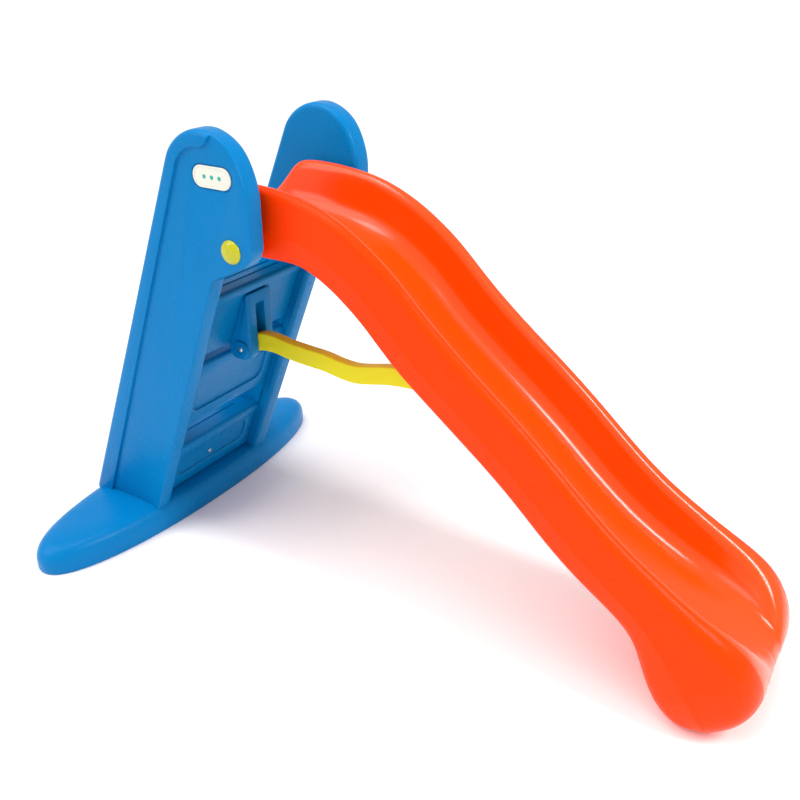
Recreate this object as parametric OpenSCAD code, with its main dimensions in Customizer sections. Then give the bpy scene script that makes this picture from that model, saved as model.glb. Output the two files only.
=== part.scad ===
// Folding toddler slide: an A-frame of a three-step ladder and a one-hump trough slide.
// Millimetres. X runs towards the slide's exit, Z is up, and the floor is Z = 0.
// The origin is the middle of the base, on the floor.

/* [Overall] */
// Height of the slide's pivot above the floor
pivot_height = 732; // [600:1:880]

// Distance from the pivot to the front of the exit
slide_run = 1037; // [850:1:1250]

// Length of the base across the ladder
base_width = 898; // [780:1:1150]

// Depth of the base along X
base_depth = 232; // [228:1:290]

// Height of the base
base_height = 68; // [62:1:95]

/* [Ladder] */
// Clear width between the two side panels
panel_gap = 295; // [270:1:360]

// Thickness of a side panel
panel_thickness = 50; // [40:1:62]

// How far the raised rim stands out of a panel's face
rim_height = 6; // [3:0.5:8]

// Thickness of a tread
tread_thickness = 26; // [20:1:32]

// Thickness of a riser
riser_thickness = 24; // [20:1:30]

/* [Slide] */
// Outer width of the slide between the panels
slide_width = 260; // [215:1:280]

// Depth of the trough, measured square to the bed
trough_depth = 88; // [74:1:104]

/* [Pivot and brace] */
// Diameter of the pivot pins
pin_diameter = 18; // [14:0.5:20]

// Diameter of a pivot pin's domed head
pin_head_diameter = 46; // [36:1:56]

// Thickness of the brace
brace_thickness = 24; // [18:1:28]

// Height of the brace's bar
brace_height = 40; // [32:1:46]

// Diameter of the brace's hinge pin
brace_pin_diameter = 8; // [6:0.5:10]

/* [Moulding] */
// Wall of the hollow mouldings
wall = 3; // [2.5:0.1:4.5]

/* [View] */
// Which node to build

/* [Hidden] */

blue = [0.10, 0.49, 0.76];
orange = [1.00, 0.27, 0.05];
yellow = [0.88, 0.85, 0.26];
pin_yellow = [0.80, 0.82, 0.08];
steel = [0.70, 0.72, 0.75];
pale = [0.93, 0.93, 0.90];

// the profiles below are drawn at these sizes and scaled to the ones asked for
kz = pivot_height / 732;
kx = slide_run / 1037;
ky = slide_width / 260;
kd = trough_depth / 88;
// the slide's pivot
px = 399;
pz = pivot_height;
// a ladder corner [x, z, radius], and the X and Z of a slide point, at the sizes asked for
function lad(p) = [p[0], p[1] * kz, p[2]];
function sx(x) = x < px ? x : px + (x - px) * kx;
function sz(z) = z * kz;

y_in = panel_gap / 2;
y_out = y_in + panel_thickness;
y_mid = y_in + panel_thickness / 2;
y_face = y_out - rim_height;
// depth of a panel's socket in the base, running clearance of the pins, and gap between parts that touch
socket_z = base_height - 28;
fit = 0.08;
gap = 0.2;
// half width of the step unit
cheek = y_in - gap;
// pilot hole of a screw
pilot_r = 2.45;
// the badge's middle
badge_at = [368, 865 * kz];
// height of the riser screw, and foot and top of the tongue behind it
screw_z = 122 * kz;
tongue_z = [base_height - 6, 150 * kz];

// ---- plane figures: a corner list of [x, z, radius] becomes a smooth outline
function unit(v) = v / norm(v);
function xz(p) = [p[0], p[1]];
function corner(p, a, b, r, n) =
    let (u = unit(xz(a) - xz(p)), v = unit(xz(b) - xz(p)), h = acos(u * v) / 2,
         c = xz(p) + unit(u + v) * r / sin(h),
         s = xz(p) + u * r / tan(h), e = xz(p) + v * r / tan(h),
         a0 = atan2(s[1] - c[1], s[0] - c[0]), a1 = atan2(e[1] - c[1], e[0] - c[0]),
         d = ((a1 - a0 + 540) % 360) - 180)
    [for (i = [0:n]) c + r * [cos(a0 + d * i / n), sin(a0 + d * i / n)]];
function outline(ps, n = 8) =
    [for (i = [0:len(ps) - 1]) each (ps[i][2] > 0
        ? corner(ps[i], ps[(i + len(ps) - 1) % len(ps)], ps[(i + 1) % len(ps)], ps[i][2], n)
        : [xz(ps[i])])];
// a flat figure in X and Z, made solid from y0 to y1
module slab(y0, y1) translate([0, y1, 0]) rotate([90, 0, 0]) linear_extrude(y1 - y0) children();
// an oval with straight sides, centred
module stadium(l, w) polygon(outline([[-l/2, -w/2, w/2 - 0.01], [l/2, -w/2, w/2 - 0.01],
                                      [l/2, w/2, w/2 - 0.01], [-l/2, w/2, w/2 - 0.01]], 10));

// ---- ladder lines
function rear_x(z) = -117 + 0.436 * (z / kz - 33);
function front_x(z) = 295 + 0.404 * (z / kz - 603);
tread_z = [605 * kz, 437 * kz, 205 * kz];
riser_foot = [458 * kz, 267 * kz, base_height + gap];
screw_at = [[175, 520 * kz], [95, 330 * kz], [15, 140 * kz]];
foot_screw_x = [-70, 52];

panel_corners = [for (p = [[281.5, 947, 93], [392, 947, 88], [446, 870, 140], [446, 714, 45],
                 [341.4, 663.4, 24]]) lad(p)];
function panel_shape(low, rear, front) =
    concat([[rear, low, 0], [rear_x(64), 64, 0]], panel_corners,
           [[front_x(64) + 22, 64, 0], [front, low, 0]]);
// face inside the raised rim, open to the front
rim_cut = [for (p = [[-61, 52, 0], [299, 917, 58], [356, 917, 20], [392, 965, 0], [560, 965, 0],
                     [560, 52, 0]]) lad(p)];

// ---- slide sections: rim point, underside point, half width, trough depth, rim radius, lower edge radius,
// and 1 where the underside has the groove
stations = [
    [236, 737, 236, 717, 118, 0, 8, 8, 0],
    [240, 746, 241, 707, 124, 0, 12, 12, 0],
    [252, 757, 255, 702, 128, 9, 14, 14, 0],
    [270, 773, 274, 701, 130, 25, 15, 14, 0],
    [290, 793, 294, 701, 130, 45, 16, 14, 0],
    [308, 815, 313, 701, 130, 67, 16, 14, 0],
    [324, 833, 331, 701, 130, 85, 16, 14, 0],
    [342, 840, 350, 701, 130, 92, 16, 14, 0],
    [375, 842, 382, 701, 130, 94, 16, 14, 0],
    [419, 841, 420, 701, 130, 95, 16, 14, 0],
    [470, 836, 460, 702, 130, 95, 16, 14, 0],
    [520, 827, 498, 701, 132, 94, 16, 14, 0],
    [566, 811, 535, 688, 134, 92, 16, 14, 0],
    [614, 788, 570, 669, 135, 90, 16, 14, 0],
    [660, 758, 604, 645, 136, 89, 16, 14, 0],
    [705, 724, 638, 617, 136, 88, 16, 14, 1],
    [749, 680, 672, 583, 137, 87, 16, 14, 1],
    [792, 640, 708, 547, 137, 87, 17, 14, 1],
    [838, 601, 750, 513, 138, 87, 17, 14, 1],
    [886, 563, 800, 475, 138, 87, 17, 14, 1],
    [932, 528, 852, 436, 139, 87, 17, 14, 1],
    [976, 493, 900, 399, 139, 87, 17, 14, 1],
    [1022, 454, 946, 362, 140, 87, 17, 14, 1],
    [1068, 413, 990, 321, 141, 87, 18, 15, 1],
    [1115, 372, 1036, 278, 142, 87, 18, 16, 1],
    [1162, 335, 1088, 237, 144, 87, 19, 18, 1],
    [1210, 304, 1138, 204, 147, 86, 20, 22, 1],
    [1256, 277, 1178, 177, 151, 84, 22, 27, 0],
    [1302, 251, 1206, 148, 156, 82, 25, 33, 0],
    [1345, 230, 1222, 110, 161, 76, 31, 38, 0],
    [1384, 206, 1240, 68, 165, 60, 40, 40, 0],
    [1412, 174, 1262, 34, 166, 37, 50, 40, 0],
    [1430, 136, 1284, 11, 163, 13, 56, 42, 0],
    [1434, 96, 1302, 2, 157, 0, 56, 40, 0],
    [1420, 60, 1315, 0, 146, 0, 50, 34, 0],
    [1396, 31, 1327, 0, 131, 0, 32, 28, 0],
    [1366, 9, 1338, 0, 112, 0, 14, 14, 0]];
// height of the parting line as a share of the section, and the bed's fillet
crease = 0.40;
bed_fillet = 38;
// spacer rings and the underside's groove
spacer_r = 27;
groove_depth = 14;
groove_y = brace_thickness / 2 + 1.5;

// between two stations a smooth curve is followed
function blend(a, b, c, d, t) = 0.5 * ((2 * b) + (c - a) * t + (2 * a - 5 * b + 4 * c - d) * t * t
                                       + (3 * b - a - 3 * c + d) * t * t * t);
function between(i) = let (m = len(stations) - 1)
    blend(stations[max(i - 1, 0)], stations[i], stations[i + 1], stations[min(i + 2, m)], 0.5);
last = len(stations) - 1;
function halfway(i) = concat([for (q = [0:7]) between(i)[q]], stations[i][8] * stations[i + 1][8]);
skin = concat([for (i = [0:last - 1]) each [stations[i], halfway(i)]], [stations[last]]);

// one section, drawn t inside the outer skin, from the underside's middle over the rim to the bed's middle:
// h height, w half width, wt and wb at top and bottom, d trough depth, rr rim radius, rb lower edge radius,
// ri inner rim, rf bed fillet, yi and yc the bed's edge and where its fillet starts, g and gy the groove
function half(s, t) =
    let (a = [sx(s[0]), sz(s[1])], b = [sx(s[2]), sz(s[3])], h = norm(a - b),
         k = h / norm([s[0] - s[2], s[1] - s[3]]),
         w = s[4] * ky, d = s[5] * k * (s[5] > 80 ? kd : 1), rr = s[6], rb = s[7],
         wt = w - 3, wb = w - 7, ri = min(rr, d * 0.45), rf = min(bed_fillet, d * 0.45),
         yi = wt - 2 * rr, yc = max(yi - 5 - bed_fillet, 4), g = s[8] ? groove_depth : 0,
         gy = groove_y + (g > 0 ? t : 0))
    concat(
        // underside: the middle is arched by 1 mm, or cut by the groove for the brace's tip
        [[0, t + 1.2 + g], [gy, t + 0.9 + g], [gy + 1.5, t + 0.7], [(wb - rb) * 0.6, t + 0.4]],
        [for (q = [-90, -60, -30, 0]) [wb - rb + (rb - t) * cos(q), rb + (rb - t) * sin(q)]],
        [[w - t, max(crease * h, rb + 0.5)]],
        [for (q = [0, 30, 60, 90]) [wt - rr + (rr - t) * cos(q), h - rr + (rr - t) * sin(q)]],
        // with no trough left, these rows crown the top by 2 mm in place of dishing the bed
        [for (q = [120, 150, 180]) [wt - rr + (rr - t) * cos(q),
            d < 2 ? h - t + q / 400 : h - ri + max(ri - t, 0) * sin(q)]],
        [for (q = [0, -22, -45, -68, -90]) [yc + (yi - 5 - yc + t) * cos(q),
            d < 2 ? h - t + 0.7 - q / 90 : h - d + rf + (rf + t) * sin(q)]],
        [[yc * 0.5, d < 2 ? h - t + 1.8 : h - d - t - 0.4], [0, d < 2 ? h - t + 2 : h - d - t - 0.8]]);
function ring(s, t) =
    let (a = [sx(s[0]), sz(s[1])], b = [sx(s[2]), sz(s[3])], u = unit(a - b), p = half(s, t), n = len(p))
    concat([for (i = [0:n - 1]) [b[0] + u[0] * p[i][1], p[i][0], b[1] + u[1] * p[i][1]]],
           [for (i = [n - 2:-1:1]) [b[0] + u[0] * p[i][1], -p[i][0], b[1] + u[1] * p[i][1]]]);
module loft(rings) {
    n = len(rings[0]);
    m = len(rings);
    h = n / 2;
    polyhedron(points = [for (r = rings) each r], convexity = 12, faces = concat(
        // ends are closed strip by strip, from the underside row to the bed row
        [for (i = [0:h - 1]) each (i == 0 ? [[0, 1, n - 1]] : i == h - 1 ? [[i, i + 1, n - i]] :
            [[i, i + 1, n - i], [i + 1, n - i - 1, n - i]])],
        [for (i = [0:h - 1]) let (o = (m - 1) * n) each (i == 0 ? [[o, o + n - 1, o + 1]] :
            i == h - 1 ? [[o + i, o + n - i, o + i + 1]] :
            [[o + i, o + n - i, o + i + 1], [o + i + 1, o + n - i, o + n - i - 1]])],
        [for (k = [0:m - 2]) for (i = [0:n - 1]) let (j = (i + 1) % n)
            each [[k * n + i, (k + 1) * n + i, (k + 1) * n + j], [k * n + i, (k + 1) * n + j, k * n + j]]]));
}

// ---- brace: hinge in the housing, tip just clear of the slide's underside
hinge = [262, 450 * kz];
under_a = [sx(708), sz(547)];
under_b = [sx(900), sz(399)];
under_u = unit(under_b - under_a);
under_n = [under_u[1], -under_u[0]];
tip_r = brace_height / 2;
tip = under_a + (under_b - under_a) * 0.47 + under_n * (tip_r + 2.5 - groove_depth);
brace_u = unit(tip - hinge);
brace_n = [-brace_u[1], brace_u[0]];
brace_l = norm(tip - hinge);
// wave of the bar's middle line, as fractions of the length and millimetres
wave = [[0, 0], [0.06, 12], [0.13, 12], [0.20, 5], [0.29, 0], [0.38, -4], [0.46, -12], [0.53, -14], [0.60, -8],
        [0.68, 0], [0.78, 3], [0.90, 1], [1, 0]];
function bar(side) =
    [for (p = wave) hinge + brace_u * brace_l * p[0] + brace_n * (p[1] + side * brace_height / 2)];
function arc(c, r, a0, a1, n) =
    [for (i = [1:n - 1]) let (a = a0 + (a1 - a0) * i / n) c + r * [cos(a), sin(a)]];
brace_a = atan2(brace_u[1], brace_u[0]);

// ---- base
// one ring; the power is below 1, which makes the oval a little fuller than an ellipse
function oval(inset, z, n) = let (a = base_depth / 2 - inset, b = base_width / 2 - inset * 1.7)
    [for (i = [0:n - 1]) let (c = cos(360 * i / n), s = sin(360 * i / n))
        [a * sign(c) * pow(abs(c), oval_power), b * sign(s) * pow(abs(s), oval_power), z]];
oval_power = 0.93;
// inset and height of each ring of the base's outer skin and of its hollow
base_levels = [[5, 0], [0, 7], [0, base_height * 0.43], [2, base_height * 0.60], [6, base_height * 0.74],
               [12, base_height * 0.85], [22, base_height * 0.93], [40, base_height * 0.98], [68, base_height]];
base_hollow = [[8, wall], [wall, 8], [wall, base_height * 0.43], [8, base_height * 0.66],
               [20, base_height * 0.83], [44, base_height - wall - 2]];
module stack(rings) {
    n = len(rings[0]);
    m = len(rings);
    polyhedron(points = [for (r = rings) each r], convexity = 6, faces = concat(
        [[for (i = [0:n - 1]) i]], [[for (i = [n - 1:-1:0]) (m - 1) * n + i]],
        [for (k = [0:m - 2]) for (i = [0:n - 1]) let (j = (i + 1) % n)
            each [[k * n + i, (k + 1) * n + i, (k + 1) * n + j], [k * n + i, (k + 1) * n + j, k * n + j]]]));
}

// ---- fixings
// pan head screw, head on z = 0 to 3, shank down
module screw(length) {
    difference() {
        cylinder(r1 = 5.5, r2 = 4.2, h = 3, $fn = 32);
        translate([-3.2, -0.6, 1.6]) cube([6.4, 1.2, 3]);
        translate([-0.6, -3.2, 1.6]) cube([1.2, 6.4, 3]);
    }
    translate([0, 0, -length]) cylinder(r = 2.4, h = length + 0.2, $fn = 24);
}
// everything along Y at a point in X and Z, from y0 to y1
module rod(p, r, y0, y1, n = 48)
    translate([p[0], y1, p[1]]) rotate([90, 0, 0]) cylinder(r = r, h = y1 - y0, $fn = n);

module base() color(blue) {
    difference() {
        union() {
            stack([for (l = base_levels) oval(l[0], l[1], 64)]);
            // tongue that the bottom riser is screwed to
            slab(-40, 40) polygon([[front_x(tongue_z[0]) - riser_thickness - 14, tongue_z[0]],
                [front_x(tongue_z[0]) - riser_thickness - 0.6, tongue_z[0]],
                [front_x(tongue_z[1]) - riser_thickness - 0.6, tongue_z[1]],
                [front_x(tongue_z[1]) - riser_thickness - 14, tongue_z[1]]]);
        }
        difference() {
            stack([for (l = base_hollow) oval(l[0], l[1], 40)]);
            for (s = [-1, 1]) {
                translate([-130, s * y_mid - panel_thickness / 2 - wall, socket_z - wall])
                    cube([260, panel_thickness + 2 * wall, 80]);
                for (x = foot_screw_x)
                    translate([x, s * y_mid, -1]) cylinder(r = 13, h = socket_z, $fn = 32);
            }
            translate([-20, -44, base_height - wall - 8]) cube([110, 88, 20]);
        }
        // sockets for the panels' feet, screw holes, the tongue's pilot hole and a drain
        for (s = [-1, 1]) {
            slab(s > 0 ? y_in - gap : -y_out - gap, s > 0 ? y_out + gap : gap - y_in)
                polygon([[-101, socket_z], [95, socket_z], [102, 66], [102, 120], [-109, 120],
                         [-105, 66]]);
            for (x = foot_screw_x) translate([x, s * y_mid, 0]) {
                translate([0, 0, -1]) cylinder(r = 8, h = socket_z - 19, $fn = 32);
                cylinder(r = pilot_r, h = socket_z + 1, $fn = 24);
            }
        }
        translate([0, 300, -1]) cylinder(r = 6, h = 12, $fn = 24);
        riser_screw_place(-0.05) translate([0, 0, -60]) cylinder(r = pilot_r, h = 60, $fn = 24);
    }
}

module badge_place() translate([badge_at[0], -y_face + 2, badge_at[1]]) rotate([90, 0, 0]) children();

// right panel at -Y, with the badge's recess; the left one is its mirror
module panel(badge_side) difference() {
    slab(-y_out, -y_in) polygon(outline(panel_shape(socket_z, -100, 94)));
    slab(-y_out - 1, -y_face) polygon(outline(rim_cut));
    difference() {
        slab(-y_face + wall, -y_in - wall)
            offset(delta = -wall) polygon(outline(panel_shape(socket_z, -100, 94), 5));
        for (p = screw_at) rod(p, 8, -y_in - 24, -y_in);
        for (x = foot_screw_x) translate([x, -y_mid, socket_z]) cylinder(r = 8, h = 26, $fn = 32);
    }
    rod([px, pz], pin_diameter / 2 + fit, -y_out - 1, -y_in + 1);
    for (p = screw_at) rod(p, pilot_r, -y_in - 22, -y_in + 1, 24);
    for (x = foot_screw_x) translate([x, -y_mid, socket_z - 1]) cylinder(r = pilot_r, h = 22, $fn = 24);
    if (badge_side) badge_place() linear_extrude(3) stadium(97, 46);
}
module right_panel() color(blue) panel(true);
module left_panel() color(blue) mirror([0, 1, 0]) panel(false);

// one step: tread, nose and the riser that hangs from it
function step_shape(i, t) =
    let (z = tread_z[i], f = riser_foot[i], tt = tread_thickness, rt = riser_thickness, n = 22 * kz)
    t == 0 ? [[rear_x(z) + 18, z, 5], [front_x(z), z, 7], [front_x(z - n), z - n, 2],
              [front_x(z - n) - 5, z - n, 0], [front_x(f) - 5, f, 3], [front_x(f) - rt, f, 3],
              [front_x(z - tt) - rt, z - tt, 6], [rear_x(z) + 18, z - tt, 5]]
           : [[rear_x(z) + 18 + t, z - t, 0], [front_x(z) - 5 - t, z - t, 0], [front_x(z - n) - 13, z - n, 0],
              [front_x(f) - 15, f + t, 0], [front_x(f) - rt + t, f + t, 0],
              [front_x(z - tt) - rt + t, z - tt + t, 0], [rear_x(z) + 18 + t, z - tt + t, 0]];
// pocket in a riser's face, between two heights
module pocket(z0, z1) difference() {
    slab(-116, 116) polygon([[front_x(z0) - 11, z0], [front_x(z0) + 20, z0],
                             [front_x(z1) + 20, z1], [front_x(z1) - 11, z1]]);
    // rounded ends
    for (s = [-1, 1]) translate([front_x(z0) - 40, s * 116, (z0 + z1) / 2]) rotate([0, 90, 0])
        difference() {
            translate([-(z1 - z0) / 2 - 1, -24, 0]) cube([z1 - z0 + 2, 48, 140]);
            translate([0, -s * 22, -1]) linear_extrude(142)
                polygon(outline([[-(z1 - z0) / 2 - 1, -22, 18], [(z1 - z0) / 2 + 1, -22, 18],
                                 [(z1 - z0) / 2 + 1, 22, 18], [-(z1 - z0) / 2 - 1, 22, 18]]));
        }
}
module step_unit() color(blue) {
    difference() {
        union() {
            for (i = [0:2]) slab(-cheek, cheek) polygon(outline(step_shape(i, 0), 4));
            for (s = [-1, 1]) slab(s > 0 ? cheek - 5 : -cheek, s > 0 ? cheek : 5 - cheek)
                polygon([[rear_x(riser_foot[2]) + 22, riser_foot[2]],
                         [front_x(riser_foot[2]) - 5, riser_foot[2]],
                         [front_x(tread_z[0]) - 8, tread_z[0] - 6],
                         [rear_x(tread_z[0]) + 22, tread_z[0] - 6]]);
            // housing of the brace's hinge
            slab(-46, 46) polygon(outline([[288, 586 * kz, 0], [288, 424 * kz, 22], [238, 424 * kz, 18],
                [front_x(460) - 8, 456 * kz, 0], [front_x(560 * kz) - 8, 560 * kz, 0]]));
            // anti-slip ribs on the treads
            for (z = tread_z) for (k = [0:3])
                translate([rear_x(z) + 44 + k * 26, 0, z - 0.5]) linear_extrude(2.5) rotate(90) stadium(210, 9);
        }
        for (i = [0:2]) slab(-cheek + wall, cheek - wall) polygon(outline(step_shape(i, wall)));
        pocket(293 * kz, 392 * kz);
        pocket(98 * kz, 160 * kz);
        slab(-brace_thickness / 2 - 2, brace_thickness / 2 + 2)
            polygon([[240, 400 * kz], [320, 400 * kz], [320, 552 * kz], [279, 552 * kz], [249, 488 * kz],
                     [240, 472 * kz]]);
        rod(hinge, brace_pin_diameter / 2 + fit, -60, 60, 32);
        rod(hinge, 8, -60, -44.5, 32);
        for (p = screw_at) rod(p, pilot_r, -y_in - 1, y_in + 1, 24);
        riser_screw_place(0) {
            translate([0, 0, -60]) cylinder(r = pilot_r, h = 61, $fn = 24);
            cylinder(r = 7, h = 20, $fn = 32);
        }
        // vents of the hollow steps, on the side that meets a panel
        for (z = tread_z) rod([rear_x(z) + 60, z - tread_thickness / 2], 3, cheek - wall - 1, cheek + 1, 24);
    }
}

// the pins' bores stop inside the slide's flank
hub_y = slide_width / 2 - 14;
// the hollow moulding: its outer skin, then its inner one from the foot's open underside back up to the deck
module slide() color(orange) difference() {
    loft(concat([for (s = skin) ring(s, 0)], [for (i = [last:-1:2]) ring(stations[i], wall)]));
    for (s = [-1, 1]) rod([px, pz], pin_diameter / 2 + fit, s > 0 ? hub_y : -y_in, s > 0 ? y_in : -hub_y);
}
module pivot_spacer(s) color(orange) difference() {
    inner = slide_width / 2 + 0.3;
    rod([px, pz], spacer_r, s > 0 ? inner : 0.6 - y_in, s > 0 ? y_in - 0.6 : -inner);
    rod([px, pz], pin_diameter / 2 + fit, -y_in, y_in);
}
module pivot_spacer_left() pivot_spacer(1);
module pivot_spacer_right() pivot_spacer(-1);

module brace() color(yellow) difference() {
    slab(-brace_thickness / 2, brace_thickness / 2)
        polygon(concat(bar(1), arc(tip, tip_r, brace_a + 90, brace_a - 90, 8),
                       [for (i = [len(wave) - 1:-1:0]) bar(-1)[i]],
                       arc(hinge, tip_r, brace_a + 270, brace_a + 90, 10)));
    rod(hinge, brace_pin_diameter / 2 + fit, -30, 30, 32);
}

// snap pin with a domed head, drawn for the right side
module pivot_pin() {
    c = pin_diameter / 2;
    head = pin_head_diameter;
    // the barb snaps out behind the slide's flank, clear of its inner face
    barb = slide_width / 2 - 13 - y_face;
    translate([px, -y_face, pz]) rotate([90, 0, 0]) rotate_extrude($fn = 64)
        polygon([[0, 9], [head * 0.22, 8], [head * 0.36, 5.6], [head * 0.46, 2.6], [head * 0.5, 0.6],
                 [head * 0.5, 0.1], [c, 0.1], [c, barb + 0.5], [c + 3, barb], [c + 2.4, barb - 3.5],
                 [c - 2, barb - 9], [c - 4, barb - 9], [c - 4, -6], [0, -6]]);
}
module pivot_pin_right() color(pin_yellow) pivot_pin();
module pivot_pin_left() color(pin_yellow) mirror([0, 1, 0]) pivot_pin();

module brace_pin() color(steel) {
    rod(hinge, brace_pin_diameter / 2, -44.5, 52, 32);
    translate([hinge[0], -44.5, hinge[1]]) rotate([90, 0, 0]) rotate_extrude($fn = 32)
        polygon([[0, 2.6], [3, 2.3], [5.4, 1.2], [6.4, 0], [0, 0]]);
}
module brace_pin_cap() color(steel) {
    c = brace_pin_diameter / 2 + fit;
    translate([hinge[0], 46.1, hinge[1]]) rotate([-90, 0, 0]) rotate_extrude($fn = 32)
        polygon([[c, 0], [9, 0], [9, 1.2], [6.4, 2], [6.2, 7.4], [5, 8.6], [0, 8.6], [0, 6.4], [c, 6.4]]);
}

module badge() color(pale) badge_place() linear_extrude(3.2) stadium(90, 40);

module foot_screws(s) for (x = foot_screw_x)
    translate([x, s * y_mid, socket_z - 20]) rotate([180, 0, 0]) screw(38);
module foot_screws_left() color(steel) foot_screws(1);
module foot_screws_right() color(steel) foot_screws(-1);

module cheek_screws(s) for (p = screw_at)
    translate([p[0], s * (cheek - 5), p[1]]) rotate([s * 90, 0, 0]) screw(26);
module cheek_screws_left() color(steel) cheek_screws(1);
module cheek_screws_right() color(steel) cheek_screws(-1);

module riser_screw_place(d)
    translate([front_x(screw_z) - 11 + d, 0, screw_z]) rotate([0, 90 + atan(0.404 / kz), 0]) children();
module riser_screw() color(steel) riser_screw_place(0.1) screw(28);

base();
left_panel();
right_panel();
step_unit();
slide();
brace();
pivot_pin_left();
pivot_pin_right();
pivot_spacer_left();
pivot_spacer_right();
brace_pin();
brace_pin_cap();
badge();
foot_screws_left();
foot_screws_right();
cheek_screws_left();
cheek_screws_right();
riser_screw();
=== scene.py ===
from math import atan2, cos, pi, radians, sin, tan

import bmesh
import bpy
from mathutils import Matrix, Vector


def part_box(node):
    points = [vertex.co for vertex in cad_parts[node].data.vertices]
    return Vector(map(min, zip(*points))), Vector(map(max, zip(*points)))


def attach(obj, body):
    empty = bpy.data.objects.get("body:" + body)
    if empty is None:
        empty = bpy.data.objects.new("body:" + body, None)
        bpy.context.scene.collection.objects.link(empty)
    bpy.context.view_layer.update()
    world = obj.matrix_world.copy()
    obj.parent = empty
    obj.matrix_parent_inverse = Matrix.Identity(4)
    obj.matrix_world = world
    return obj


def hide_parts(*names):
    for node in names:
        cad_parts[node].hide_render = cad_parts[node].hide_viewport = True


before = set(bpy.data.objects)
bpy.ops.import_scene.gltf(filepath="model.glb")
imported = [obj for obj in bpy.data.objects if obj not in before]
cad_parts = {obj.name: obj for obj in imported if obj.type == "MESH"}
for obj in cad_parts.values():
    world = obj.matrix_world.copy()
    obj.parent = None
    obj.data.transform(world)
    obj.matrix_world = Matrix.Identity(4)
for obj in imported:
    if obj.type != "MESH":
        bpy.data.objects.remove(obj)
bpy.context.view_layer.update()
scene = bpy.context.scene
MM = 0.001
FLOOR_HALF = 60


# Studio: the camera stands to the front right of the ladder, a little above the slide's deck.
# A white room and a broad sun light everything evenly, and three soft boxes give the long highlights.
camera = bpy.data.objects.new("camera", bpy.data.cameras.new("camera"))
camera.location = (1.5131, -1.3720, 1.2424)
camera.rotation_euler = (radians(62.93), 0, radians(32.34))
camera.data.lens = 40.5
camera.data.sensor_width = 36
scene.collection.objects.link(camera)
scene.camera = camera
scene.view_settings.view_transform = "Standard"

room = bpy.data.worlds.new("white_room")
room.use_nodes = True
room.node_tree.nodes["Background"].inputs["Color"].default_value = (1, 1, 1, 1)
room.node_tree.nodes["Background"].inputs["Strength"].default_value = 0.72
scene.world = room


def soft_box(name, place, aim, wide, tall, watts):
    """A rectangular studio light at place, turned to face aim."""
    light = bpy.data.lights.new(name, "AREA")
    light.shape = "RECTANGLE"
    light.size = wide
    light.size_y = tall
    light.energy = watts
    holder = bpy.data.objects.new(name, light)
    holder.location = place
    holder.rotation_euler = (Vector(aim) - Vector(place)).to_track_quat("-Z", "Y").to_euler()
    scene.collection.objects.link(holder)


soft_box("top_box", (0.3, -0.2, 3.0), (0.7, 0, 0.3), 1.2, 0.7, 16)
soft_box("left_box", (-1.6, -2.4, 1.9), (0.3, 0, 0.5), 1.0, 1.4, 14)
soft_box("front_box", (2.8, -0.1, 2.1), (1.0, 0, 0.4), 0.35, 0.9, 38)
sky = bpy.data.lights.new("even_light", "SUN")
sky.energy = 1.5
sky.angle = radians(50)
sky_holder = bpy.data.objects.new("even_light", sky)
sky_holder.rotation_euler = (radians(24), radians(-22), 0)
scene.collection.objects.link(sky_holder)


def linear(code):
    """An sRGB hex colour as linear RGBA."""
    parts = [int(code[i:i + 2], 16) / 255 for i in (1, 3, 5)]
    return [c / 12.92 if c <= 0.04045 else ((c + 0.055) / 1.055) ** 2.4 for c in parts] + [1]


def surface(name):
    """A new material with nodes, its node tree and its shader."""
    material = bpy.data.materials.new(name)
    material.use_nodes = True
    return material, material.node_tree, material.node_tree.nodes["Principled BSDF"]


def add(tree, kind, settings=(), values=(), links=()):
    """Adds a node with its settings, socket values and incoming links, each a list of pairs."""
    node = tree.nodes.new(kind)
    for name, value in settings:
        setattr(node, name, value)
    for name, value in values:
        node.inputs[name].default_value = value
    for name, socket in links:
        tree.links.new(socket, node.inputs[name])
    return node


# Floor: matt white studio paper, even and without a pattern that would show at this distance.
# Only its faint fibre changes the roughness a little.
floor_paper, tree, paper = surface("studio_paper_matt")
paper.inputs["Base Color"].default_value = linear("#fbfbfb")
paper.inputs["Specular IOR Level"].default_value = 0.1
place = add(tree, "ShaderNodeTexCoord")
fibre = add(tree, "ShaderNodeTexNoise", values=[("Scale", 40)],
            links=[("Vector", place.outputs["Object"])])
rough = add(tree, "ShaderNodeMapRange", values=[("To Min", 0.85), ("To Max", 0.95)],
            links=[("Value", fibre.outputs["Fac"])])
tree.links.new(rough.outputs["Result"], paper.inputs["Roughness"])

ground = bmesh.new()
bmesh.ops.create_grid(ground, x_segments=1, y_segments=1, size=FLOOR_HALF)
sheet = bpy.data.meshes.new("floor")
ground.to_mesh(sheet)
ground.free()
sheet.materials.append(floor_paper)
floor = bpy.data.objects.new("floor", sheet)
scene.collection.objects.link(floor)


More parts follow.
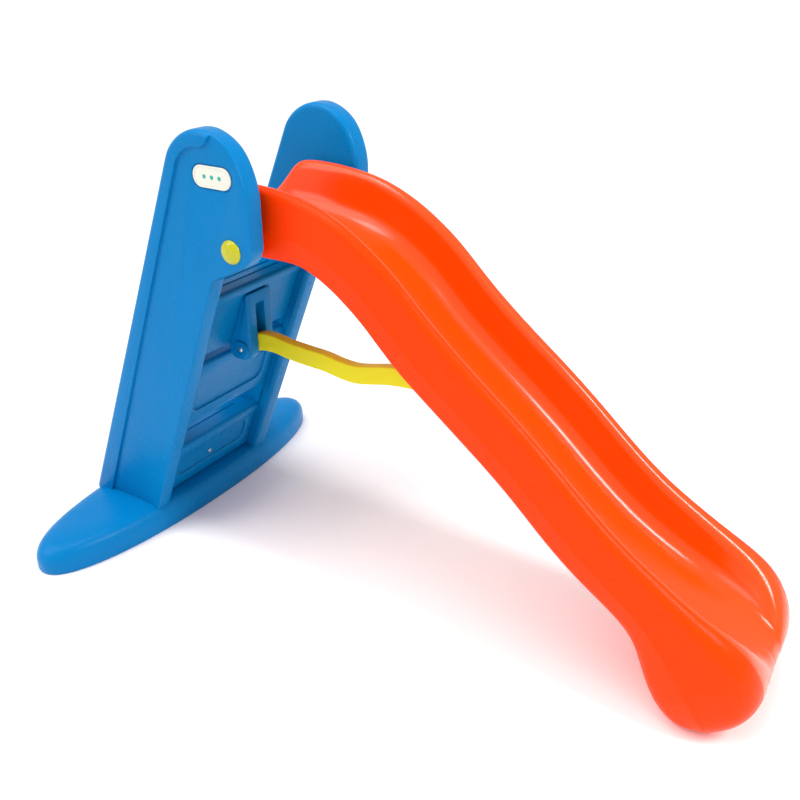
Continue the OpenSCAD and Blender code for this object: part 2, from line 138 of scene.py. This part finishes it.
# Base: one long oval foot of blow-moulded polyethylene, hollow, with a low domed top and upright sides.
# The two side panels and the step unit stand on it. Its plastic and the maker of pieces serve every part.
def moulded_plastic(name, colour, gloss, grain_mm, grain, mottle=0.03, mirror=0.14):
    """Polyethylene out of a blow mould: even colour, soft gloss, and the mould's fine sandblasted grain."""
    material, tree, shader = surface(name)
    # polyethylene's waxy skin mirrors less than glass does
    shader.inputs["Specular IOR Level"].default_value = mirror
    place = add(tree, "ShaderNodeTexCoord")
    # the resin cools unevenly, which shows as cloudy areas about 90 mm across
    cloud = add(tree, "ShaderNodeTexNoise", values=[("Scale", 11), ("Detail", 2)],
                links=[("Vector", place.outputs["Object"])])
    shade = add(tree, "ShaderNodeMapRange", values=[("To Min", 1 - mottle), ("To Max", 1 + mottle)],
                links=[("Value", cloud.outputs["Fac"])])
    tint = add(tree, "ShaderNodeMix", [("data_type", "RGBA"), ("blend_type", "MULTIPLY")], [("Factor", 1.0)])
    tint.inputs[6].default_value = linear(colour)
    tree.links.new(shade.outputs["Result"], tint.inputs[7])
    tree.links.new(tint.outputs[2], shader.inputs["Base Color"])
    # handling leaves the gloss a little uneven
    wipe = add(tree, "ShaderNodeTexNoise", values=[("Scale", 26), ("Detail", 4)],
               links=[("Vector", place.outputs["Object"])])
    rough = add(tree, "ShaderNodeMapRange", values=[("To Min", gloss - 0.05), ("To Max", gloss + 0.06)],
                links=[("Value", wipe.outputs["Fac"])])
    tree.links.new(rough.outputs["Result"], shader.inputs["Roughness"])
    # the grain is drawn coarser than a mould's so that it shows
    sand = add(tree, "ShaderNodeTexNoise", values=[("Scale", 1000 / grain_mm), ("Detail", 2)],
               links=[("Vector", place.outputs["Object"])])
    swell = add(tree, "ShaderNodeTexNoise", values=[("Scale", 9), ("Detail", 1)],
                links=[("Vector", place.outputs["Object"])])
    height = add(tree, "ShaderNodeMath", [("operation", "MULTIPLY_ADD")], [(1, 5.0)],
                 [(0, swell.outputs["Fac"]), (2, sand.outputs["Fac"])])
    bump = add(tree, "ShaderNodeBump", values=[("Strength", grain), ("Distance", 0.0009)],
               links=[("Height", height.outputs["Value"])])
    tree.links.new(bump.outputs["Normal"], shader.inputs["Normal"])
    return material


blue_moulding = moulded_plastic("polyethylene_blow_moulded_blue", "#0075b4", 0.28, 4.0, 0.7, mirror=0.1)


def make_piece(name, shape, materials, body, stands_for=(), sharp=38):
    """Turns a bmesh into a finished piece that rides on a body and may stand for CAD nodes."""
    bmesh.ops.recalc_face_normals(shape, faces=shape.faces)
    mesh = bpy.data.meshes.new(name)
    shape.to_mesh(mesh)
    shape.free()
    for material in materials:
        mesh.materials.append(material)
    mesh.polygons.foreach_set("use_smooth", [True] * len(mesh.polygons))
    mesh.set_sharp_from_angle(angle=radians(sharp))
    piece = bpy.data.objects.new(name, mesh)
    scene.collection.objects.link(piece)
    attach(piece, body)
    if stands_for:
        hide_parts(*stands_for)
    return piece


low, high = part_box("base")
half_x = (high.x - low.x) / 2
half_y = (high.y - low.y) / 2
# the dome's top; the node's box also holds the tongue that stands above it
base_top = 68 * MM
oval_power = 0.93
# an inset across the ladder is this many times the inset along it
side_share = 1.7
# inset in X in millimetres, and height as a share of the whole, of each ring from the floor to the dome
base_rings = ((5, 0), (1.5, 0.02), (0, 0.1), (0, 0.43), (0.8, 0.52), (2, 0.60), (3.6, 0.67), (6, 0.74),
              (8.6, 0.80), (12, 0.85), (16, 0.89), (22, 0.93), (30, 0.958), (40, 0.98), (53, 0.992), (68, 1),
              (90, 1))
base_shape = bmesh.new()
bmesh.ops.create_circle(base_shape, segments=128, radius=1, cap_ends=True)
for vert in base_shape.verts:
    for axis in (0, 1):
        side = 1 if vert.co[axis] > 0 else -1
        vert.co[axis] = side * abs(vert.co[axis]) ** oval_power


def ring_size(inset):
    """Half length and half width of the oval at an inset."""
    return half_x - inset * MM, half_y - inset * side_share * MM


edges = base_shape.edges[:]
before = ring_size(base_rings[0][0])
bmesh.ops.scale(base_shape, vec=(before[0], before[1], 1), verts=base_shape.verts)
for (_, height_before), (inset, height) in zip(base_rings, base_rings[1:]):
    now = ring_size(inset)
    grown = bmesh.ops.extrude_edge_only(base_shape, edges=edges)["geom"]
    edges = [g for g in grown if isinstance(g, bmesh.types.BMEdge)]
    verts = [g for g in grown if isinstance(g, bmesh.types.BMVert)]
    bmesh.ops.scale(base_shape, vec=(now[0] / before[0], now[1] / before[1], 1), verts=verts)
    bmesh.ops.translate(base_shape, vec=(0, 0, (height - height_before) * base_top), verts=verts)
    before = now
bmesh.ops.contextual_create(base_shape, geom=edges)
make_piece("base_foot", base_shape, [blue_moulding], "ladder", ["base"], sharp=50)


# Side panels: hollow blow mouldings 50 mm thick, leaning with the ladder.
# Each has a rounded lobe for the slide's pivot and a raised rim down its rear edge and over its top.
def bevel(shape, edges, width, steps):
    """Rounds some edges of a bmesh, the width in mm."""
    bmesh.ops.bevel(shape, geom=edges, offset=width * MM, offset_type="OFFSET", segments=steps, profile=0.5,
                    affect="EDGES", material=-1)


def rounded_plate(corners, y0, y1, edge=0.0, steps=4, arc_steps=9):
    """A plate from y0 to y1. Corners are (x, z, radius) in mm, edge rounds its rims, in mm."""
    plate = bmesh.new()
    verts = [plate.verts.new((x * MM, y0 * MM, z * MM)) for x, z, r in corners]
    plate.faces.new(verts)
    count = len(corners)
    for k in range(count):
        here, back, on = (Vector(corners[(k + j) % count][:2]) for j in (0, -1, 1))
        if corners[k][2]:
            half_angle = (back - here).angle(on - here) / 2
            bmesh.ops.bevel(plate, geom=[verts[k]], offset=corners[k][2] / tan(half_angle) * MM,
                            offset_type="OFFSET", segments=arc_steps, profile=0.5, affect="VERTICES",
                            material=-1)
    grown = bmesh.ops.extrude_face_region(plate, geom=plate.faces[:])["geom"]
    moved = [g for g in grown if isinstance(g, bmesh.types.BMVert)]
    bmesh.ops.translate(plate, vec=(0, (y1 - y0) * MM, 0), verts=moved)
    if edge:
        flat = [f for f in plate.faces if len(f.verts) > 4 or abs(f.normal.y) > 0.9]
        rims = [e for e in plate.edges if sum(f in flat for f in e.link_faces) == 1]
        bevel(plate, rims, edge, steps)
    bmesh.ops.recalc_face_normals(plate, faces=plate.faces)
    return plate


def as_object(shape, name):
    """A loose object for a modifier to use; the bmesh is used up."""
    mesh = bpy.data.meshes.new(name)
    shape.to_mesh(mesh)
    shape.free()
    piece = bpy.data.objects.new(name, mesh)
    scene.collection.objects.link(piece)
    return piece


def carve(shape, cutters, soften=0.0, steps=3):
    """The shape with each cutter taken out of it, and the new edges softened, in mm."""
    body = as_object(shape, "blank")
    cutting = [as_object(cutter, "cutter") for cutter in cutters]
    for tool in cutting:
        cut = body.modifiers.new("cut", "BOOLEAN")
        cut.object = tool
        cut.solver = "EXACT"
    if soften:
        rounding = body.modifiers.new("soften", "BEVEL")
        rounding.width = soften * MM
        rounding.segments = steps
        rounding.limit_method = "ANGLE"
        rounding.angle_limit = radians(32)
        rounding.use_clamp_overlap = True
    bpy.context.view_layer.update()
    done = body.evaluated_get(bpy.context.evaluated_depsgraph_get()).to_mesh()
    result = bmesh.new()
    result.from_mesh(done)
    for piece in [body] + cutting:
        bpy.data.objects.remove(piece)
    return result


def join(shapes):
    """Several bmeshes as one."""
    whole = bmesh.new()
    for shape in shapes:
        mesh = bpy.data.meshes.new("part")
        shape.to_mesh(mesh)
        whole.from_mesh(mesh)
        shape.free()
        bpy.data.meshes.remove(mesh)
    return whole


def block(x, y, z):
    """A cuboid about the origin, in mm."""
    shape = bmesh.new()
    bmesh.ops.create_cube(shape, size=1)
    bmesh.ops.scale(shape, vec=(x * MM, y * MM, z * MM), verts=shape.verts)
    return shape


def face_side(shape, x, y, z):
    """Turns a round shape from its own Z axis to face -Y, and moves it to a place in mm."""
    bmesh.ops.rotate(shape, cent=(0, 0, 0), matrix=Matrix.Rotation(pi / 2, 3, "X"), verts=shape.verts)
    bmesh.ops.translate(shape, vec=(x * MM, y * MM, z * MM), verts=shape.verts)


rear_slope = 0.436
front_slope = 0.404


def rear_x(z):
    """The ladder's rear line, in mm."""
    return -117 + rear_slope * (z - 33)


def front_x(z):
    """The front plane of the steps, in mm."""
    return 295 + front_slope * (z - 603)


panel_in = -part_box("right_panel")[1].y / MM
panel_out = -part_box("right_panel")[0].y / MM
panel_recess = 6
face_y = panel_out - panel_recess
foot_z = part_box("right_panel")[0].z / MM
panel_top = 947
lobe_front = 446
socket_z = 64
badge_x, badge_z = 368, 865
panel_outline = ((-100, foot_z, 0), (rear_x(socket_z), socket_z, 0), (281.5, panel_top, 93),
                 (392, panel_top, 88), (lobe_front, 870, 140), (lobe_front, 714, 45), (341.4, 663.4, 24),
                 (front_x(socket_z) + 22, socket_z, 0), (94, foot_z, 0))
# the face inside the raised rim, run out past the panel's front so that no rim is left there
inside_rim = ((-61, 40, 0), (299, 917, 58), (356, 917, 20), (392, 965, 0), (560, 965, 0), (560, 40, 0))


def oval(x, z, length, width, y0, y1, edge=0.0, steps=3):
    """A plate with round ends, centred at x and z, in mm."""
    a, b = length / 2, width / 2
    # a radius just under half the width keeps the ends from closing on themselves
    corners = [(x + i * a, z + j * b, b * 0.995) for i, j in ((-1, -1), (1, -1), (1, 1), (-1, 1))]
    return rounded_plate(corners, y0, y1, edge, steps, 12)


for side, name in ((-1, "right_panel"), (1, "left_panel")):
    blank = rounded_plate(panel_outline, -panel_out, -panel_in, 11, 5, 14)
    cutters = [rounded_plate(inside_rim, -panel_out - 4, -face_y)]
    if side < 0:
        cutters.append(oval(badge_x, badge_z, 97, 46, -face_y - 2, -face_y + 2))
    panel = carve(blank, cutters, 2.4, 3)
    if side > 0:
        bmesh.ops.scale(panel, vec=(1, -1, 1), verts=panel.verts)
    make_piece(name + "_moulding", panel, [blue_moulding], "ladder", [name])


# Step unit: one hollow blow moulding with three treads, a riser under each and a thin cheek at each side.
# The top riser carries the forked housing of the brace's hinge, and shallow pockets stiffen the lower risers.
step_half = panel_in - 0.2
riser_back = 5
moulding_thick = 24
treads = (605, 437, 205)
riser_feet = (458, 267, base_top / MM + 0.2)
# top and bottom of the pocket in each riser
pocket_spans = (None, (392, 293), (160, 98))
ribs_per_tread = 4


def tread_and_riser(z, foot):
    """One tread with its rounded nose and the riser under it, down to foot."""
    nose = z - 22
    outline = ((rear_x(z) + 18, z, 7), (front_x(z), z, 9), (front_x(nose), nose, 4),
               (front_x(nose - 4) - riser_back, nose - 4, 2), (front_x(foot) - riser_back, foot, 5),
               (front_x(foot) - moulding_thick, foot, 5), (front_x(z - 26) - moulding_thick, z - 26, 9),
               (rear_x(z) + 18, z - 26, 7))
    return rounded_plate(outline, -step_half, step_half, 0, 3, 5)


def riser_pocket(top, bottom):
    """The cutter for a shallow pocket with round corners in a leaning riser."""
    lean = atan2(front_slope, 1)
    pocket = block(40, 232, (top - bottom) / cos(lean))
    bevel(pocket, [e for e in pocket.edges if abs(e.verts[0].co.x - e.verts[1].co.x) > 1 * MM], 22, 8)
    bmesh.ops.rotate(pocket, cent=(0, 0, 0), matrix=Matrix.Rotation(lean, 3, "Y"), verts=pocket.verts)
    middle = (top + bottom) / 2
    place = ((front_x(middle) - 11 + 20 / cos(lean)) * MM, 0, middle * MM)
    bmesh.ops.translate(pocket, vec=place, verts=pocket.verts)
    return pocket


def tread_rib(x, z):
    """A long anti-slip rib with round ends and a softened top."""
    rib = block(9, 208, 6)
    bevel(rib, [e for e in rib.edges if abs(e.verts[0].co.z - e.verts[1].co.z) > 1 * MM], 4.4, 5)
    top_rim = [e for e in rib.edges if all(v.co.z > 2.9 * MM for v in e.verts) and len(e.link_faces) == 2
               and any(abs(f.normal.z) < 0.5 for f in e.link_faces)]
    bevel(rib, top_rim, 1.3, 3)
    bmesh.ops.translate(rib, vec=(x * MM, 0, z * MM), verts=rib.verts)
    return rib


parts = []
for z, foot, span in zip(treads, riser_feet, pocket_spans):
    step = tread_and_riser(z, foot)
    if span:
        step = carve(step, [riser_pocket(*span)], 3, 3)
    parts.append(step)
    for k in range(ribs_per_tread):
        parts.append(tread_rib(rear_x(z) + 44 + k * 26, z - 1))
cheek_top, cheek_foot = 599, riser_feet[2]
cheek = ((rear_x(cheek_foot) + 22, cheek_foot, 4), (front_x(cheek_foot) - 5, cheek_foot, 4),
         (front_x(cheek_top) - 6, cheek_top, 6), (rear_x(cheek_top) + 22, cheek_top, 6))
for side in (-1, 1):
    inner, outer = sorted((side * (step_half - 5), side * step_half))
    parts.append(rounded_plate(cheek, inner, outer, 1.2, 2, 4))
hinge_x, hinge_z = 262, 450
fork_half = 46
fork_outline = ((288, 584, 4), (288, 424, 22), (238, 424, 18), (front_x(460) - 8, 456, 0),
                (front_x(560) - 8, 560, 0))
housing = rounded_plate(fork_outline, -fork_half, fork_half, 5, 4, 8)
for vert in housing.verts:
    # moulding draft: the fork narrows towards its front
    vert.co.y *= 1 - 0.0032 * max(0, vert.co.x / MM - 236)
gap_outline = ((240, 400, 0), (320, 400, 0), (320, 552, 0), (279, 552, 3), (249, 488, 0), (240, 472, 0))
parts.append(carve(housing, [rounded_plate(gap_outline, -14, 14)], 2.2, 3))
boss = bmesh.new()
bmesh.ops.create_cone(boss, cap_ends=True, segments=48, radius1=21 * MM, radius2=19.5 * MM, depth=6 * MM)
bevel(boss, [e for e in boss.edges if all(v.co.z > 2 * MM for v in e.verts)], 1.5, 3)
face_side(boss, hinge_x, -43, hinge_z)
bore = bmesh.new()
bmesh.ops.create_cone(bore, cap_ends=True, segments=32, radius1=8 * MM, radius2=8 * MM, depth=20 * MM)
face_side(bore, hinge_x, -54.4, hinge_z)
parts.append(carve(boss, [bore]))
make_piece("step_unit_moulding", join(parts), [blue_moulding], "ladder", ["step_unit"])


# Slide: one long hollow blow moulding, a trough with round rims and one hump, ending in a bullnose foot.
# Its flanks carry the parting line and the mould's grain; the bed and inner walls are polished.
orange_flank = moulded_plastic("polyethylene_blow_moulded_orange", "#ff3c00", 0.28, 4.0, 0.7, 0.015,
                               mirror=0.08)
orange_bed = moulded_plastic("polyethylene_polished_orange", "#ff4600", 0.2, 6.0, 0.06, 0.015, mirror=0.4)
groove_depth = 14
# rim x and z, underside x and z, half width, trough depth, rim radius and lower edge radius in mm,
# and 1 where the underside has the brace's groove
slide_sections = (
    (236, 737, 236, 717, 118, 0, 8, 8, 0), (240, 746, 241, 707, 124, 0, 12, 12, 0),
    (252, 757, 255, 702, 128, 9, 14, 14, 0), (270, 773, 274, 701, 130, 25, 15, 14, 0),
    (290, 793, 294, 701, 130, 45, 16, 14, 0), (308, 815, 313, 701, 130, 67, 16, 14, 0),
    (324, 833, 331, 701, 130, 85, 16, 14, 0), (342, 840, 350, 701, 130, 92, 16, 14, 0),
    (375, 842, 382, 701, 130, 94, 16, 14, 0), (419, 841, 420, 701, 130, 95, 16, 14, 0),
    (470, 836, 460, 702, 130, 95, 16, 14, 0), (520, 827, 498, 701, 132, 94, 16, 14, 0),
    (566, 811, 535, 688, 134, 92, 16, 14, 0), (614, 788, 570, 669, 135, 90, 16, 14, 0),
    (660, 758, 604, 645, 136, 89, 16, 14, 0), (705, 724, 638, 617, 136, 88, 16, 14, 1),
    (749, 680, 672, 583, 137, 87, 16, 14, 1), (792, 640, 708, 547, 137, 87, 17, 14, 1),
    (838, 601, 750, 513, 138, 87, 17, 14, 1), (886, 563, 800, 475, 138, 87, 17, 14, 1),
    (932, 528, 852, 436, 139, 87, 17, 14, 1), (976, 493, 900, 399, 139, 87, 17, 14, 1),
    (1022, 454, 946, 362, 140, 87, 17, 14, 1), (1068, 413, 990, 321, 141, 87, 18, 15, 1),
    (1115, 372, 1036, 278, 142, 87, 18, 16, 1), (1162, 335, 1088, 237, 144, 87, 19, 18, 1),
    (1210, 304, 1138, 204, 147, 86, 20, 22, 1), (1256, 277, 1178, 177, 151, 84, 22, 27, 0),
    (1302, 251, 1206, 148, 156, 82, 25, 33, 0), (1345, 230, 1222, 110, 161, 76, 31, 38, 0),
    (1384, 206, 1240, 68, 165, 60, 40, 40, 0), (1412, 174, 1262, 34, 166, 37, 50, 40, 0),
    (1430, 136, 1284, 11, 163, 13, 56, 42, 0), (1434, 96, 1302, 2, 157, 0, 56, 40, 0),
    (1420, 60, 1315, 0, 146, 0, 50, 34, 0), (1396, 31, 1327, 0, 131, 0, 32, 28, 0),
    (1366, 9, 1338, 0, 112, 0, 14, 14, 0))


def arc(y, s, radius_y, radius_s, angles):
    """Points of an ellipse, angles in degrees."""
    return [(y + radius_y * cos(radians(a)), s + radius_s * sin(radians(a))) for a in angles]


def half_section(height, width, trough, rim, lower, groove):
    """Half of a section, as (y, height above the underside), from underside over the rim to the bed."""
    top, bottom, roof = width - 3, width - 7, groove_depth * groove
    roll, hollow = min(rim, trough * 0.45), min(38, trough * 0.45)
    inner = top - 2 * rim
    middle = max(inner - 43, 4)
    seam = max(0.4 * height, lower + 4)
    under = [(0, 1.2 + roof), (13.5, 0.9 + roof), (15, 0.7), ((bottom - lower) * 0.6, 0.4)]
    edge = arc(bottom - lower, lower, lower, lower, (-90, -60, -30, 0))
    # the parting line is a low ridge, finer where the flank is short
    proud, spread = (1.1, 3) if height > 60 else (0.8, 1)
    bead = [(width - proud, seam - spread), (width, seam), (width - proud, seam + spread)]
    over = arc(top - rim, height - rim, rim, rim, (0, 30, 60, 90))
    down = arc(top - rim, height - roll, rim, roll, (120, 150, 180))
    sweep = arc(middle, height - trough + hollow, inner - 5 - middle, hollow, (0, -22, -45, -68, -90))
    bed = [(middle * 0.5, height - trough - 0.4), (0, height - trough - 0.8)]
    return under + edge + bead + over + down + sweep + bed


# the point of each half section at the top of the rim; the polished bed starts there
crest_row = 14
slide_shape = bmesh.new()
rows = slide_shape.verts.layers.int.new("row")
rings = []
for rim_x, rim_z, low_x, low_z, width, trough, rim, lower, groove in slide_sections:
    base_point, top_point = Vector((low_x, 0, low_z)), Vector((rim_x, 0, rim_z))
    up = (top_point - base_point).normalized()
    half = half_section((top_point - base_point).length, width, trough, rim, lower, groove)
    ring = []
    for side in (1, -1):
        order = range(len(half)) if side > 0 else range(len(half) - 2, 0, -1)
        for k in order:
            y, s = half[k]
            vert = slide_shape.verts.new((base_point + up * s + Vector((0, side * y, 0))) * MM)
            vert[rows] = k
            ring.append(vert)
    rings.append(ring)
count = len(rings[0])
loops = [[slide_shape.edges.new((ring[k], ring[(k + 1) % count])) for k in range(count)] for ring in rings]
for k in range(len(loops) - 1):
    bmesh.ops.bridge_loops(slide_shape, edges=loops[k] + loops[k + 1])
for ring in (rings[0], rings[-1]):
    # the ends close in rows across the moulding
    for k in range(count // 2):
        corners = [ring[k], ring[k + 1], ring[(count - k - 1) % count], ring[(count - k) % count]]
        # where a row meets itself two corners are one
        slide_shape.faces.new(list(dict.fromkeys(corners)))
for face in slide_shape.faces:
    face.material_index = 1 if all(v[rows] >= crest_row for v in face.verts) else 0
slide = make_piece("slide_moulding", slide_shape, [orange_flank, orange_bed], "slide", ["slide"],
                   180)
smooth = slide.modifiers.new("smooth", "SUBSURF")
smooth.levels = smooth.render_levels = 2


# Brace: a thin wavy bar of injection-moulded plastic, hinged in the step unit's fork.
# Its tip rides in the groove under the slide.
yellow_bar = moulded_plastic("polypropylene_moulded_yellow", "#dbd11e", 0.36, 3.0, 0.3, 0.02)
bar_half = 20
tip_gap = 2.5
hinge = Vector((hinge_x, hinge_z))
groove_start, groove_end = Vector((708, 547)), Vector((900, 399))
slope = (groove_end - groove_start).normalized()
square = Vector((slope.y, -slope.x))
tip = groove_start + (groove_end - groove_start) * 0.47 + square * (bar_half + tip_gap - groove_depth)
along = (tip - hinge).normalized()
across = Vector((-along.y, along.x))
reach = (tip - hinge).length
# the bar's middle line: share of the way to the tip, and mm above the straight line
wave = ((0, 0), (0.06, 12), (0.13, 12), (0.20, 5), (0.29, 0), (0.38, -4), (0.46, -12), (0.53, -14),
        (0.60, -8), (0.68, 0), (0.78, 3), (0.90, 1), (1, 0))


def wave_at(t):
    """The bar's middle line between two of its points, on a smooth curve."""
    k = min(int(t), len(wave) - 2)
    a, b, c, d = (Vector(wave[min(max(k + j, 0), len(wave) - 1)]) for j in (-1, 0, 1, 2))
    u = t - k
    return 0.5 * (2 * b + (c - a) * u + (2 * a - 5 * b + 4 * c - d) * u ** 2
                  + (3 * b - a - 3 * c + d) * u ** 3)


def round_end(centre, first, last):
    """Half a turn of points round one end of the bar, angles in degrees from its direction."""
    turn = atan2(along.y, along.x)
    angles = [turn + radians(a) for a in range(first, last, -15)]
    return [centre + Vector((cos(a), sin(a))) * bar_half for a in angles]


shares = [k / 4 for k in range(4 * (len(wave) - 1) + 1)]
middle_line = [hinge + along * reach * wave_at(t).x + across * wave_at(t).y for t in shares]
upper = [p + across * bar_half for p in middle_line]
lower = [p - across * bar_half for p in reversed(middle_line)]
brace_outline = [(p.x, p.y, 0) for p in upper + round_end(tip, 75, -90) + lower + round_end(hinge, 255, 90)]
half_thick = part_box("brace")[1].y / MM
brace = rounded_plate(brace_outline, -half_thick, half_thick, 3.2, 4)
make_piece("brace_bar", brace, [yellow_bar], "brace", ["brace"])


# Pivot pins: glossy injection-moulded snap pins with a broad domed head, one through each panel's lobe.
# The gate mark of the mould is a small dimple in the middle of the dome.
pin_plastic = moulded_plastic("acetal_moulded_yellow_green", "#b5b208", 0.16, 3.0, 0.05, 0.02, mirror=0.5)
pin_x, pin_z = 399, 732


def turned(profile, segments=64):
    """A round solid about its own Z axis from (radius, height) points in mm."""
    shape = bmesh.new()
    line = [shape.verts.new((r * MM, 0, z * MM)) for r, z in profile]
    ends = [shape.edges.new((a, b)) for a, b in zip(line, line[1:])]
    bmesh.ops.spin(shape, geom=line + ends, cent=(0, 0, 0), axis=(0, 0, 1), angle=2 * pi, steps=segments,
                   use_merge=True)
    bmesh.ops.remove_doubles(shape, verts=shape.verts, dist=0.00001)
    bmesh.ops.recalc_face_normals(shape, faces=shape.faces)
    return shape


head_radius = 23
shank_radius = 9
gate_mark = [(0, 8.3), (1.6, 8.3), (2.4, 8.9)]
dome = [(head_radius * sin(radians(a)), 0.6 + 8.4 * cos(radians(a))) for a in range(10, 91, 8)]
shank = [(head_radius, 0.6), (22.6, 0.15), (shank_radius, 0.1), (shank_radius, -69)]
barb = [(11, -69.5), (11, -72), (7, -78), (0, -78)]
for side, name in ((-1, "pivot_pin_right"), (1, "pivot_pin_left")):
    pin = turned(gate_mark + dome + shank + barb)
    face_side(pin, pin_x, -face_y, pin_z)
    if side > 0:
        bmesh.ops.scale(pin, vec=(1, -1, 1), verts=pin.verts)
    make_piece(name + "_snap", pin, [pin_plastic], "ladder", [name])


# Badge: a small glossy oval plate pressed into its recess in the right panel.
# It is plain, with a raised border and three round studs in place of any mark.
badge_plastic = moulded_plastic("abs_moulded_ivory", "#dedcd0", 0.22, 3.0, 0.04, 0.01, mirror=0.4)
stud_plastic = moulded_plastic("abs_moulded_teal", "#3fa79a", 0.25, 3.0, 0.04, 0.01)
stud_profile = [(0, 1.2), (2.6, 1.1), (4.0, 0.6), (4.4, -0.4), (0, -0.4)]
stud_pitch = 18
plate = oval(badge_x, badge_z, 90, 40, -face_y - 0.4, -face_y + 2, 0.8, 3)
hole = oval(badge_x, badge_z, 83, 33, -face_y - 3, -face_y + 1)
border = carve(oval(badge_x, badge_z, 90, 40, -face_y - 1.2, -face_y + 1), [hole], 0.5, 2)
badge_parts = [plate, border]
for k in (-1, 0, 1):
    stud = turned(stud_profile, 32)
    face_side(stud, badge_x + stud_pitch * k, -face_y, badge_z)
    for face in stud.faces:
        face.material_index = 1
    badge_parts.append(stud)
make_piece("badge_plate", join(badge_parts), [badge_plastic, stud_plastic], "ladder", ["badge"])


# Pivot spacers: orange plastic rings that keep the slide central between the two panels.
# They have the same finish as the slide's flank.
def cover(names, material):
    """Gives some of the CAD's nodes a material."""
    for name in names:
        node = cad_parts[name]
        node.data.materials.clear()
        node.data.materials.append(material)


cover(("pivot_spacer_left", "pivot_spacer_right"), orange_flank)


# Screws, hinge pin and cap: steel wire, headed and zinc plated, with the plating's faint cloudy bloom.
# The bloom shows in the colour, as a slightly uneven gloss and as a trace of relief.
zinc, tree, metal = surface("steel_zinc_plated")
metal.inputs["Metallic"].default_value = 1.0
place = add(tree, "ShaderNodeTexCoord")
bloom = add(tree, "ShaderNodeTexNoise", values=[("Scale", 160), ("Detail", 3)],
            links=[("Vector", place.outputs["Object"])])
tone = add(tree, "ShaderNodeValToRGB", links=[("Fac", bloom.outputs["Fac"])])
tone.color_ramp.elements[0].color = linear("#b9bdc2")
tone.color_ramp.elements[1].color = linear("#d9dde0")
dull = add(tree, "ShaderNodeMapRange", values=[("To Min", 0.24), ("To Max", 0.42)],
           links=[("Value", bloom.outputs["Fac"])])
relief = add(tree, "ShaderNodeBump", values=[("Strength", 0.15), ("Distance", 0.0001)],
             links=[("Height", bloom.outputs["Fac"])])
tree.links.new(tone.outputs["Color"], metal.inputs["Base Color"])
tree.links.new(dull.outputs["Result"], metal.inputs["Roughness"])
tree.links.new(relief.outputs["Normal"], metal.inputs["Normal"])
cover(("brace_pin", "brace_pin_cap", "foot_screws_left", "foot_screws_right", "cheek_screws_left",
       "cheek_screws_right", "riser_screw"), zinc)
